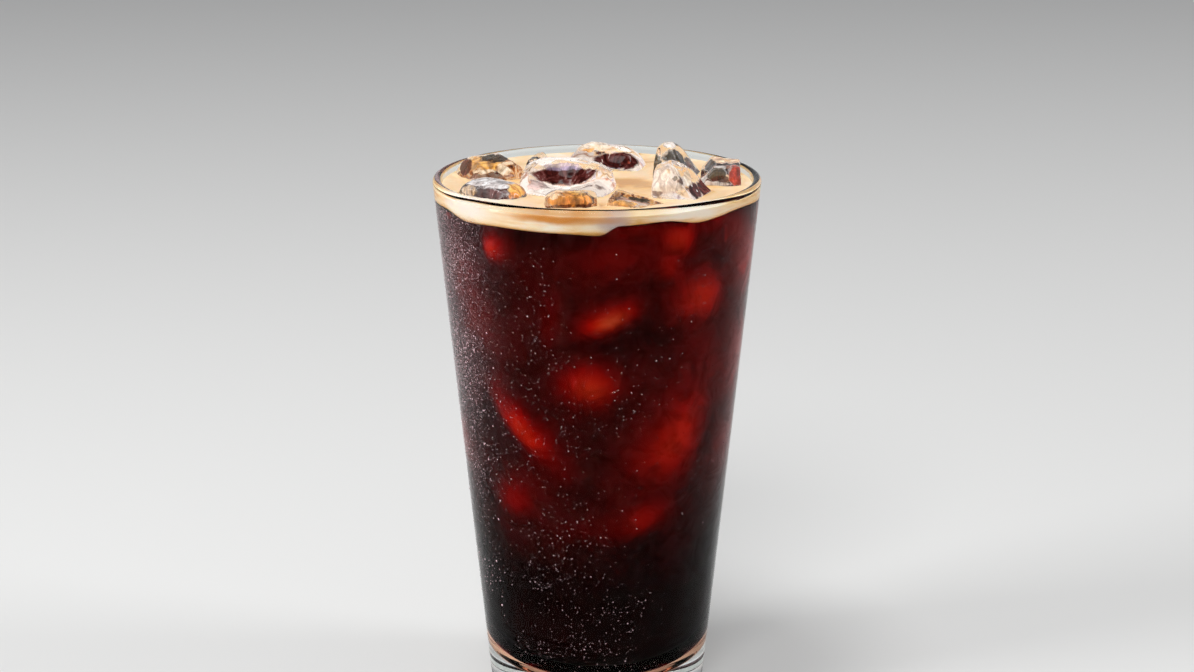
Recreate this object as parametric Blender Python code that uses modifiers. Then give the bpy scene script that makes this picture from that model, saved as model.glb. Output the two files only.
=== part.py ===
"""A pint glass of iced cold brew coffee, filled to just under the brim.

One tapered glass holds the coffee, a skin of pale foam and ten pieces of ice that break the surface.
Lengths are in metres and +Z is up. The origin is the centre of the glass's foot, on the table.
The front of the glass, where the foam dips lowest, faces -Y.
"""

import math
from typing import NamedTuple

import bmesh
import bpy
from mathutils import Euler, Matrix, Vector

MM = 0.001

# Glass
GLASS_HEIGHT = 149.0 * MM
RIM_RADIUS = 44.45 * MM
FOOT_RADIUS = 30.2 * MM
RIM_WALL = 2.4 * MM
FOOT_WALL = 5.4 * MM
BASE_THICKNESS = 9.0 * MM
INNER_CORNER = 14.0 * MM
FOOT_ROUND = 2.0 * MM
FOOT_RING_WIDTH = 5.0 * MM
PUNT_HEIGHT = 1.8 * MM
TURN_STEPS = 60

# Drink
GAP = 0.3 * MM
POCKET_GAP = 0.36 * MM
FOAM_LEVEL = 146.5 * MM
FOAM_SWELL = 0.45 * MM
FOAM_LIP = 0.5 * MM
FOAM_MIDDLE_FLOOR = 143.2 * MM
DRINK_STEPS = 60
TOP_RINGS = 5

# The foam's lower edge on the glass: (degrees from the front towards +X, depth below the brim)
FOAM_EDGE = (
    (-150, 5.2 * MM),
    (-110, 4.9 * MM),
    (-84, 5.7 * MM),
    (-67, 5.3 * MM),
    (-52, 6.9 * MM),
    (-36, 6.4 * MM),
    (-12, 6.6 * MM),
    (1, 6.9 * MM),
    (8, 4.4 * MM),
    (24, 3.9 * MM),
    (38, 5.3 * MM),
    (59, 4.2 * MM),
    (84, 5.1 * MM),
    (120, 4.4 * MM),
    (165, 5.6 * MM),
)


class Ice(NamedTuple):
    """One piece of ice. place is its middle seen from above, and top the height of its upper face's middle.

    turn is about Z, and lean tips the piece about X and Y before the turn. Each facet is a flat melted off
    the block: (degrees round Z, degrees up, share of the way from the middle to the corner that is kept).
    A piece with crispness is melted smooth, the more so the lower the figure. One without is a chipped
    block with its corners rounded. hollow is a dimple sunk into a smooth piece's upper face: (its middle's
    x and y, width, length, depth).
    """

    name: str
    place: tuple
    top: float
    size: tuple
    turn: float
    lean: tuple
    facets: tuple = ()
    rounding: float = 0.8 * MM
    crispness: float = 0.0
    hollow: tuple = None


ICE = (
    Ice(
        "ice_left_back",
        (-29.2 * MM, 8.0 * MM),
        151.9 * MM,
        (16.0 * MM, 12.5 * MM, 16.5 * MM),
        20,
        (9, -4),
        facets=((188, 36, 0.70), (272, 46, 0.74), (325, 30, 0.84), (15, 42, 0.74), (95, 42, 0.86)),
        rounding=0.9 * MM,
    ),
    Ice(
        "ice_left_front",
        (-27.5 * MM, -15.4 * MM),
        150.5 * MM,
        (20.5 * MM, 10.5 * MM, 11.0 * MM),
        -31,
        (6, 3),
        facets=((175, 35, 0.80), (350, 30, 0.80), (80, -30, 0.66)),
        crispness=5.0,
    ),
    Ice(
        "ice_centre",
        (-8.8 * MM, -7.2 * MM),
        152.8 * MM,
        (27.5 * MM, 22.5 * MM, 17.5 * MM),
        -10,
        (20, 2),
        facets=((208, -30, 0.54), (270, -50, 0.80)),
        crispness=3.4,
        hollow=(0.4 * MM, -1.6 * MM, 20.0 * MM, 14.0 * MM, 5.0 * MM),
    ),
    Ice(
        "ice_front",
        (-6.8 * MM, -28.2 * MM),
        150.8 * MM,
        (13.5 * MM, 7.6 * MM, 12.0 * MM),
        4,
        (10, 3),
        facets=((235, 30, 0.72), (300, 8, 0.74), (95, 50, 0.78), (340, 42, 0.72), (180, 45, 0.80)),
        rounding=0.6 * MM,
    ),
    Ice(
        "ice_back",
        (1.2 * MM, 22.4 * MM),
        152.2 * MM,
        (25.0 * MM, 19.0 * MM, 17.0 * MM),
        -8,
        (20, 6),
        facets=((180, 35, 0.80),),
        crispness=3.2,
        hollow=(3.6 * MM, -2.4 * MM, 12.5 * MM, 10.0 * MM, 3.6 * MM),
    ),
    Ice(
        "ice_right_back",
        (22.2 * MM, 10.4 * MM),
        155.5 * MM,
        (12.0 * MM, 10.5 * MM, 18.5 * MM),
        -14,
        (4, 4),
        facets=((2, 42, 0.44), (182, 56, 0.90), (262, 46, 0.72), (95, 50, 0.78), (225, 34, 0.80)),
        rounding=0.6 * MM,
    ),
    Ice(
        "ice_right_front",
        (24.0 * MM, -16.2 * MM),
        156.2 * MM,
        (18.0 * MM, 12.0 * MM, 19.5 * MM),
        -10,
        (7, 2),
        facets=((352, 44, 0.26), (182, 56, 0.84), (262, 36, 0.70), (100, 44, 0.68), (305, 34, 0.60)),
        rounding=0.6 * MM,
    ),
    Ice(
        "ice_right",
        (33.7 * MM, 1.4 * MM),
        152.2 * MM,
        (11.0 * MM, 13.5 * MM, 15.0 * MM),
        -4,
        (6, -2),
        facets=((184, 42, 0.70), (292, 40, 0.84), (70, 42, 0.80), (240, 24, 0.86)),
        rounding=0.7 * MM,
    ),
    Ice(
        "ice_wedge",
        (10.2 * MM, -26.6 * MM),
        148.2 * MM,
        (14.5 * MM, 8.5 * MM, 9.0 * MM),
        -16,
        (10, 14),
        facets=((330, 4, 0.70), (90, 50, 0.84)),
        rounding=0.3 * MM,
    ),
    Ice(
        "ice_shard",
        (-17.3 * MM, 16.1 * MM),
        151.4 * MM,
        (4.5 * MM, 9.0 * MM, 12.0 * MM),
        -16,
        (4, 16),
        facets=((0, 50, 0.76), (268, 44, 0.80), (180, 60, 0.86)),
        rounding=0.4 * MM,
    ),
)
SMOOTH_CELLS = 7
MELT_WAVE = 0.018

# Looks
GLASS_COLOUR = (0.86, 0.92, 0.91, 1.0)
COFFEE_COLOUR = (0.055, 0.006, 0.004, 1.0)
FOAM_COLOUR = (0.88, 0.70, 0.47, 1.0)
ICE_COLOUR = (0.80, 0.78, 0.76, 1.0)


def clear_scene():
    for obj in list(bpy.data.objects):
        bpy.data.objects.remove(obj, do_unlink=True)


def new_collection(name):
    collection = bpy.data.collections.new(name)
    bpy.context.scene.collection.children.link(collection)
    return collection


def material(name, colour, roughness):
    made = bpy.data.materials.new(name)
    made.use_nodes = True
    shader = made.node_tree.nodes["Principled BSDF"]
    shader.inputs["Base Color"].default_value = colour
    shader.inputs["Roughness"].default_value = roughness
    shader.inputs["Metallic"].default_value = 0.0
    return made


def outer_radius(z):
    """Radius of the glass's straight outer wall at height z."""
    return FOOT_RADIUS + (RIM_RADIUS - FOOT_RADIUS) * z / GLASS_HEIGHT


def inner_radius(z):
    """Radius of the inner wall, which is thicker towards the foot."""
    return outer_radius(z) - (FOOT_WALL + (RIM_WALL - FOOT_WALL) * z / GLASS_HEIGHT)


def arc(centre_r, centre_z, radius, start, end, count):
    """Points of an arc in the (r, z) plane, from start to end degrees, ends included."""
    points = []
    for i in range(count + 1):
        angle = math.radians(start + (end - start) * i / count)
        points.append((centre_r + radius * math.cos(angle), centre_z + radius * math.sin(angle)))
    return points


def cavity(inset):
    """The bottom of the glass's inside, from the axis to where the wall starts, moved in by inset."""
    lean = math.atan2(inner_radius(GLASS_HEIGHT) - inner_radius(0.0), GLASS_HEIGHT)
    centre_z = BASE_THICKNESS + INNER_CORNER
    centre_r = inner_radius(centre_z) - INNER_CORNER / math.cos(lean)
    corner = arc(centre_r, centre_z, INNER_CORNER - inset, -90, -math.degrees(lean), 6)
    return [(0.0, BASE_THICKNESS + inset)] + corner


def glass_profile():
    """The glass's section: over the floor, up the inside, round the rim, down the outside and under it."""
    half = RIM_WALL / 2
    rim = arc(RIM_RADIUS - half, GLASS_HEIGHT - half, half, 180, 0, 6)
    foot = arc(outer_radius(FOOT_ROUND) - FOOT_ROUND, FOOT_ROUND, FOOT_ROUND, -4, -90, 4)
    ring_inner = foot[-1][0] - FOOT_RING_WIDTH
    punt = [
        (ring_inner, 0.0),
        (ring_inner * 0.88, PUNT_HEIGHT * 0.6),
        (ring_inner * 0.5, PUNT_HEIGHT * 0.92),
        (0.0, PUNT_HEIGHT),
    ]
    return cavity(0.0) + rim + foot + punt


def turned(name, profile, steps):
    """A profile in the XZ plane turned once round Z, as a plain mesh object."""
    mesh = bpy.data.meshes.new(name + "_profile")
    points = [(r, 0.0, z) for r, z in profile]
    mesh.from_pydata(points, [(i, i + 1) for i in range(len(points) - 1)], [])
    guide = bpy.data.objects.new(name + "_guide", mesh)
    bpy.context.scene.collection.objects.link(guide)
    screw = guide.modifiers.new("Turn", "SCREW")
    screw.axis = "Z"
    screw.steps = steps
    screw.render_steps = steps
    screw.use_merge_vertices = True
    screw.merge_threshold = 0.00001
    graph = bpy.context.evaluated_depsgraph_get()
    made = bpy.data.meshes.new_from_object(guide.evaluated_get(graph))
    made.name = name
    bpy.data.objects.remove(guide, do_unlink=True)
    return bpy.data.objects.new(name, made)


def foam_edge(azimuth):
    """Height of the foam's lower edge at the wall, eased between the marks of FOAM_EDGE."""
    marks = [*FOAM_EDGE, (FOAM_EDGE[0][0] + 360, FOAM_EDGE[0][1])]
    if azimuth < marks[0][0]:
        azimuth += 360
    for (start, before), (end, after) in zip(marks, marks[1:]):
        if start <= azimuth <= end:
            share = (azimuth - start) / (end - start)
            share = share * share * (3 - 2 * share)
            return GLASS_HEIGHT - (before + (after - before) * share)
    return GLASS_HEIGHT - marks[0][1]


def foam_floor(x, y):
    """Height of the line between coffee and foam."""
    azimuth = math.degrees(math.atan2(x, -y))
    outward = min(1.0, math.hypot(x, y) / inner_radius(FOAM_LEVEL))
    return FOAM_MIDDLE_FLOOR + (foam_edge(azimuth) - FOAM_MIDDLE_FLOOR) * outward**3


def foam_top(x, y):
    """Height of the foam's upper face: low swells, and a lip that climbs a little against the glass."""
    swell = math.sin(x / (6.1 * MM) + 0.8) * math.cos(y / (7.3 * MM) - 0.4)
    outward = min(1.0, math.hypot(x, y) / inner_radius(FOAM_LEVEL))
    return FOAM_LEVEL + FOAM_SWELL * swell * (1 - outward**4) + FOAM_LIP * outward**12


def rings_to_axis(z, inset):
    """Points from the wall to the axis at height z, spaced for a surface that is shaped afterwards."""
    radius = inner_radius(z) - inset
    return [(radius * (1 - i / TOP_RINGS), z) for i in range(TOP_RINGS + 1)]


def shape_heights(obj, mark, height_of, offset):
    """Moves every vertex of obj at height mark to height_of its place, plus offset."""
    for vertex in obj.data.vertices:
        if abs(vertex.co.z - mark) < 0.01 * MM:
            vertex.co.z = height_of(vertex.co.x, vertex.co.y) + offset


def split_quads(obj):
    """Splits each quad along its shorter diagonal, so that surfaces that follow each other bend alike."""
    bm = bmesh.new()
    bm.from_mesh(obj.data)
    bmesh.ops.triangulate(bm, faces=bm.faces[:], quad_method="SHORT_EDGE")
    bm.to_mesh(obj.data)
    bm.free()


def make_glass():
    glass = turned("glass", glass_profile(), TURN_STEPS)
    glass.data.shade_smooth()
    glass.data.set_sharp_from_angle(angle=math.radians(35))
    return glass


def make_coffee():
    """The drink, from the glass's floor up to the foam."""
    profile = cavity(GAP) + rings_to_axis(FOAM_MIDDLE_FLOOR, GAP)
    coffee = turned("coffee", profile[::-1], DRINK_STEPS)
    shape_heights(coffee, FOAM_MIDDLE_FLOOR, foam_floor, -GAP / 2)
    split_quads(coffee)
    return coffee


def make_foam():
    """The foam, a thin uneven disc between the coffee and the open air."""
    upper = rings_to_axis(FOAM_LEVEL, GAP)[::-1]
    foam = turned("foam", upper + rings_to_axis(FOAM_MIDDLE_FLOOR, GAP), DRINK_STEPS)
    shape_heights(foam, FOAM_MIDDLE_FLOOR, foam_floor, GAP / 2)
    shape_heights(foam, FOAM_LEVEL, foam_top, 0.0)
    split_quads(foam)
    return foam


def flats(piece):
    """The planes that bound a piece, round its middle, as (outward direction, distance)."""
    planes = []
    for axis in range(3):
        for side in (-1, 1):
            normal = Vector((0.0, 0.0, 0.0))
            normal[axis] = side
            planes.append((normal, piece.size[axis] / 2))
    for around, up, kept in piece.facets:
        around, up = math.radians(around), math.radians(up)
        normal = Vector((math.cos(around) * math.cos(up), math.sin(around) * math.cos(up), math.sin(up)))
        reach = sum(abs(n) * s / 2 for n, s in zip(normal, piece.size))
        planes.append((normal, reach * kept))
    return planes


def slice_off(block, normal, distance):
    """Cuts away what lies beyond a plane, and closes the cut."""
    cut = bmesh.ops.bisect_plane(
        block,
        geom=block.verts[:] + block.edges[:] + block.faces[:],
        plane_co=normal * distance,
        plane_no=normal,
        clear_outer=True,
    )
    rim = [edge for edge in cut["geom_cut"] if isinstance(edge, bmesh.types.BMEdge)]
    bmesh.ops.holes_fill(block, edges=rim)


def chipped_block(piece):
    """A block with flats chipped off it, its corners rounded as the hull of a small ball at each corner."""
    core = bmesh.new()
    bmesh.ops.create_cube(core, size=2 * max(piece.size))
    for normal, distance in flats(piece):
        slice_off(core, normal, distance - piece.rounding)
    block = bmesh.new()
    for vertex in core.verts:
        corner = Matrix.Translation(vertex.co)
        bmesh.ops.create_icosphere(block, subdivisions=2, radius=piece.rounding, matrix=corner)
    core.free()
    hull = bmesh.ops.convex_hull(block, input=block.verts[:])
    inside = [v for v in hull["geom_interior"] if isinstance(v, bmesh.types.BMVert)]
    bmesh.ops.delete(block, geom=inside, context="VERTS")
    loose = [f for f in block.faces if f not in hull["geom"]]
    bmesh.ops.delete(block, geom=loose, context="FACES")
    bmesh.ops.dissolve_degenerate(block, edges=block.edges[:], dist=0.02 * MM)
    return block


def melt_wave(way, piece):
    """How far the surface swells or shrinks in one direction, different for each smooth piece."""
    phase = piece.turn + piece.top / MM
    wave = math.sin(4.0 * way.x + phase) * math.cos(3.4 * way.y - phase)
    return 1 + MELT_WAVE * (wave + math.sin(5.2 * way.z + 2.6 * way.x + phase))


def melted_block(piece):
    """A block melted smooth: each way from its middle it reaches a soft minimum of its flats' distances."""
    block = bmesh.new()
    bmesh.ops.create_cube(block, size=1.0)
    bmesh.ops.subdivide_edges(block, edges=block.edges[:], cuts=SMOOTH_CELLS - 1, use_grid_fill=True)
    planes = flats(piece)
    power = piece.crispness
    for vertex in block.verts:
        way = Vector(c * s for c, s in zip(vertex.co, piece.size)).normalized()
        total = sum((max(0.0, normal.dot(way)) / distance) ** power for normal, distance in planes)
        vertex.co = way * total ** (-1 / power) * melt_wave(way, piece)
    if piece.hollow:
        sink_hollow(block, piece)
    return block


def sink_hollow(block, piece):
    """Presses a smooth dimple into the upper face."""
    x, y, width, length, depth = piece.hollow
    for vertex in block.verts:
        off = math.hypot(2 * (vertex.co.x - x) / width, 2 * (vertex.co.y - y) / length)
        if vertex.co.z > 0 and off < 1:
            vertex.co.z -= depth * (1 - off * off) ** 1.5


def ice_mesh(piece):
    """A piece of ice round its own middle."""
    block = melted_block(piece) if piece.crispness else chipped_block(piece)
    bmesh.ops.recalc_face_normals(block, faces=block.faces[:])
    mesh = bpy.data.meshes.new(piece.name)
    block.to_mesh(mesh)
    block.free()
    return mesh


def place_ice(obj, piece):
    turn = Euler((math.radians(piece.lean[0]), math.radians(piece.lean[1]), 0.0)).to_matrix()
    turn = Matrix.Rotation(math.radians(piece.turn), 3, "Z") @ turn
    obj.rotation_euler = turn.to_euler()
    obj.location = (*piece.place, piece.top - piece.size[2] / 2)


def grown(mesh, by):
    """A copy of mesh with its surface moved out by a gap."""
    made = mesh.copy()
    made.name = mesh.name + "_cutter"
    normals = [vertex.normal.copy() for vertex in made.vertices]
    for vertex, normal in zip(made.vertices, normals):
        vertex.co += normal * by
    return made


def cut_with(obj, cutters):
    cut = obj.modifiers.new("Ice pockets", "BOOLEAN")
    cut.operation = "DIFFERENCE"
    cut.solver = "EXACT"
    cut.operand_type = "COLLECTION"
    cut.collection = cutters


def main():
    clear_scene()
    drink = new_collection("cold_brew_coffee")
    cutters = new_collection("ice_cutters")
    cutters.hide_render = True

    glass_look = material("clear_glass", GLASS_COLOUR, 0.02)
    coffee_look = material("coffee", COFFEE_COLOUR, 0.2)
    foam_look = material("foam", FOAM_COLOUR, 0.7)
    ice_look = material("ice", ICE_COLOUR, 0.08)

    for piece in ICE:
        mesh = ice_mesh(piece)
        mesh.materials.append(ice_look)
        mesh.shade_smooth()
        mesh.set_sharp_from_angle(angle=math.radians(40))
        block = bpy.data.objects.new(piece.name, mesh)
        place_ice(block, piece)
        drink.objects.link(block)

        cutter = bpy.data.objects.new(piece.name + "_cutter", grown(mesh, POCKET_GAP))
        place_ice(cutter, piece)
        cutter.hide_render = True
        cutter.display_type = "WIRE"
        cutters.objects.link(cutter)

    for obj, look in ((make_glass(), glass_look), (make_coffee(), coffee_look), (make_foam(), foam_look)):
        obj.data.materials.append(look)
        drink.objects.link(obj)
        if obj.name != "glass":
            cut_with(obj, cutters)


main()
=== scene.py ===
"""Looks of an iced cold brew coffee in a pint glass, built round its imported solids.

Lengths are in metres, but in millimetres in the tables of patches, sunk ice and drops. The glass stands on
z = 0 and the camera looks along +Y. An azimuth is in degrees from the front toward +X, if nothing else is said.
"""

import math
from typing import NamedTuple

import bmesh
import bpy
import numpy as np
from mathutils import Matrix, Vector, noise
from mathutils.bvhtree import BVHTree


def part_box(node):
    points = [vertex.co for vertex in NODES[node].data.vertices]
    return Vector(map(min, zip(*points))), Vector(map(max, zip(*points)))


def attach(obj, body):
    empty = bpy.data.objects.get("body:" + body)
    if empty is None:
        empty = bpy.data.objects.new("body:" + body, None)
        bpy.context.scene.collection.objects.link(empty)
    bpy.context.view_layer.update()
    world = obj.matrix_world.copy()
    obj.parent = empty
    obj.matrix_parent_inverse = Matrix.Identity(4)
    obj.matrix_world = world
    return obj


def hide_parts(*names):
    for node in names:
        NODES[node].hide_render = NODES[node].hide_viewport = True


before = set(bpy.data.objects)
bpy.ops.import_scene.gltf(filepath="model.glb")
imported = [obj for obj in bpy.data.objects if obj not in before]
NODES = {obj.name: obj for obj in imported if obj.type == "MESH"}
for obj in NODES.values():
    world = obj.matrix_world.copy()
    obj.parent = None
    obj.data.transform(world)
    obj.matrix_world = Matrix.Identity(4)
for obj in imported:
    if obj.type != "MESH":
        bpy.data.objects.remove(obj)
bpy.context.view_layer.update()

MM = 0.001

# Glass, as the solids have it
GLASS_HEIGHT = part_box("glass")[1].z
RIM_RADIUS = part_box("glass")[1].x
FOOT_RADIUS = 30.2 * MM
RIM_WALL = 2.4 * MM
FOOT_WALL = 5.4 * MM
BASE_THICKNESS = 9.0 * MM
INNER_CORNER = 14.0 * MM
FOOT_ROUND = 2.0 * MM
FOOT_RING_WIDTH = 5.0 * MM
PUNT_HEIGHT = 1.8 * MM
GLASS_STEPS = 192

# Slope of the glass's outer wall, which the drops on it follow
WALL_LEAN = 0.0956

# Drink. The coffee reaches into the wall, the ice and the foam, so that no air shows between them. The foam
# leaves a little room round the ice, so that the film on the ice shows. FOAM_EDGE is how far the foam's lower
# edge lies under the brim, as (azimuth, depth).
INTO_WALL = 0.15 * MM
INTO_ICE = 0.12 * MM
INTO_FOAM = 0.1 * MM
ROUND_ICE = 0.1 * MM
FOAM_LEVEL = 146.5 * MM
FOAM_MIDDLE_FLOOR = 143.2 * MM
FOAM_EDGE = (
    (-150, 5.2 * MM),
    (-110, 4.9 * MM),
    (-84, 5.7 * MM),
    (-67, 5.3 * MM),
    (-52, 6.9 * MM),
    (-36, 6.4 * MM),
    (-12, 6.6 * MM),
    (1, 6.9 * MM),
    (8, 4.4 * MM),
    (24, 3.9 * MM),
    (38, 5.3 * MM),
    (59, 4.2 * MM),
    (84, 5.1 * MM),
    (120, 4.4 * MM),
    (165, 5.6 * MM),
)
DRINK_STEPS = 288
FOAM_SWELL = 0.5 * MM
CLIMB_AT_WALL = 0.5 * MM
CLIMB_AT_ICE = 0.7 * MM

# Ice above the foam. RIDGE is the pointiness from which an edge gets a painted highlight in the ice's pale
# tone.
VOXEL = 0.36 * MM
WELD = 0.01 * MM
MELT_WAVES = 0.28 * MM
MELT_RIPPLES = 0.05 * MM
RIDGE = 0.56

# Heap of sunk ice: how far it keeps from the wall, which is less toward the foot, how wide its pieces come near
# it, and the heights over which painted shade darkens it toward the foot
HEAP_STEPS = 240
HEAP_ROWS = 150
HEAP_INSET = 5.0 * MM
HEAP_FOOT_INSET = 4.4 * MM
HEAP_LEAST_INSET = 0.25 * MM
HEAP_FOOT = 22.0 * MM
HEAP_FOOT_RISE = 50.0 * MM
HEAP_SPREAD = 1.5
HEAP_REACH = 45 * MM
HEAP_WAVES = 1.3 * MM
HEAP_UNDER_FOAM = 0.4 * MM
HEAP_DARK_BELOW = (0.066, 0.034)

# Drops of condensation. DROP_SPAN and LARGEST_DROP are in mm. DROP_HEIGHT is a share of the drop's radius, and
# DOME and BEAD are rings of points, as (share of the radius, share of the height).
DROP_SIDES = 6
DROP_SINK = 0.02 * MM
DROP_HEIGHT = 0.5
DROP_TRIES = 20000
DROP_SPAN = (12.0, 144.5)
LARGEST_DROP = 0.38
CLUSTER_WAVES = 10
DOME = ((1.0, 0.0), (0.74, 0.66))
BEAD = ((1.0, 0.0),)

# Mist too fine to model, painted on the glass: grains a metre, its cover, and where it starts and is full. Left
# is in shares of the glass's radius.
MIST_GRAIN = 2600.0
MIST_COVER = 0.42
MIST_LEFT = (-0.50, -0.92)
MIST_RISE = (0.060, 0.125)
MIST_TOP = (0.1440, 0.1420)

# How strongly things bend light
GLASS_IOR = 1.5
WATER_IOR = 1.33
ICE_IOR = 1.31

# The mirror part of the glass's outside alone, which shines hardly at all in the photograph
SHINE_IOR = 1.13

# Shares of reflection between which a wetted face turns into a mirror from within
MIRROR_FROM = 0.6
MIRROR_FULL = 0.95

# Camera, solved from the brim's ellipse and the glass's sides in the photograph
PHOTO_WIDTH = 1194
FOCAL_PIXELS = 2086.8
CAMERA_DISTANCE = 554.87 * MM
CAMERA_HEIGHT = 264.53 * MM
CAMERA_PITCH = 16.181
SENSOR = 36.0


# Colours

CREAM = (0.86, 0.66, 0.44)
PEACH = (0.82, 0.50, 0.32)
GOLD = (0.78, 0.40, 0.10)
AMBER = (0.50, 0.17, 0.03)
TAN = (0.55, 0.36, 0.20)
MAROON = (0.055, 0.008, 0.006)
BLACK = (0.010, 0.008, 0.007)
OLIVE = (0.045, 0.032, 0.014)
LILAC = (0.56, 0.47, 0.56)
GREY_LILAC = (0.36, 0.30, 0.34)
WHITE = (0.92, 0.89, 0.88)

GLASS_TINT = (0.985, 1.0, 0.99)
MIST_TONE = (0.46, 0.27, 0.29)
DROP_TONE = (0.58, 0.41, 0.44)
COFFEE_TINT = (0.890, 0.34, 0.0)
COFFEE_DENSITY = 2600.0
FOAM_EDGE_TONE = (0.86, 0.42, 0.11)
FOAM_BRIM_TONE = (0.84, 0.54, 0.29)
FOAM_TONES = (
    (0.36, (0.50, 0.20, 0.05)),
    (0.42, (0.78, 0.45, 0.16)),
    (0.47, (0.89, 0.62, 0.34)),
    (0.55, (0.94, 0.72, 0.48)),
    (0.64, (0.94, 0.84, 0.70)),
)
ICE_UNDER_FOAM = (0.86, 0.80, 0.74)
HEAP_TONES = ((0.36, (0.55, 0.45, 0.38)), (0.60, (0.97, 0.93, 0.88)))
# Painted shade of the sunk ice heap toward the foot
HEAP_DARK = (0.050, 0.040, 0.035)
FLOOR_TONE = (0.78, 0.78, 0.77)
SKY_LOW = (0.0, (0.75, 0.76, 0.78))
SKY_HIGH = (0.75, (0.17, 0.17, 0.175))

# Films of coffee and foam on the sunk faces of the ice, as (place, colour) stops
DARK_FILM = ((0.26, CREAM), (0.34, MAROON), (0.45, BLACK), (0.56, MAROON), (0.63, MAROON), (0.68, LILAC))
AMBER_FILM = ((0.28, MAROON), (0.38, AMBER), (0.45, GOLD), (0.50, CREAM), (0.53, AMBER), (0.62, MAROON))
PALE_FILM = ((0.30, MAROON), (0.37, TAN), (0.43, CREAM), (0.55, WHITE), (0.64, LILAC))


# What the photograph shows, piece by piece


class Patch(NamedTuple):
    """A stain or clouding of ice or foam, or on ice a painted reflection or a painted glow: an ellipsoid, in
    mm, and how much of what is there it covers.
    """

    centre: tuple
    radii: tuple
    colour: tuple
    amount: float


FOAM_PATCHES = (
    Patch((4.6, -41.0, 145.4), (4.6, 4.5, 3.4), (0.58, 0.45, 0.42), 0.95),
    Patch((-9.0, -39.0, 146.1), (16.0, 8.0, 1.4), (0.64, 0.26, 0.05), 1.0),
    Patch((-33.0, -25.0, 145.6), (14.0, 11.0, 2.8), (0.94, 0.85, 0.77), 0.90),
    Patch((24.0, -34.0, 146.0), (12.0, 8.0, 1.6), (0.95, 0.84, 0.74), 0.85),
)


class IceLook(NamedTuple):
    """How a piece of ice looks. melted is how far its facets have softened and frost how much of it is clouded,
    from 0 to 1. The clouding runs from shade to pale, and pale also tints the painted highlights on its ridges
    and the painted glints in its patches. film colours its sunk faces, in grain turns a metre."""

    melted: float
    frost: float
    shade: tuple
    pale: tuple
    grain: float
    film: tuple
    patches: tuple


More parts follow.
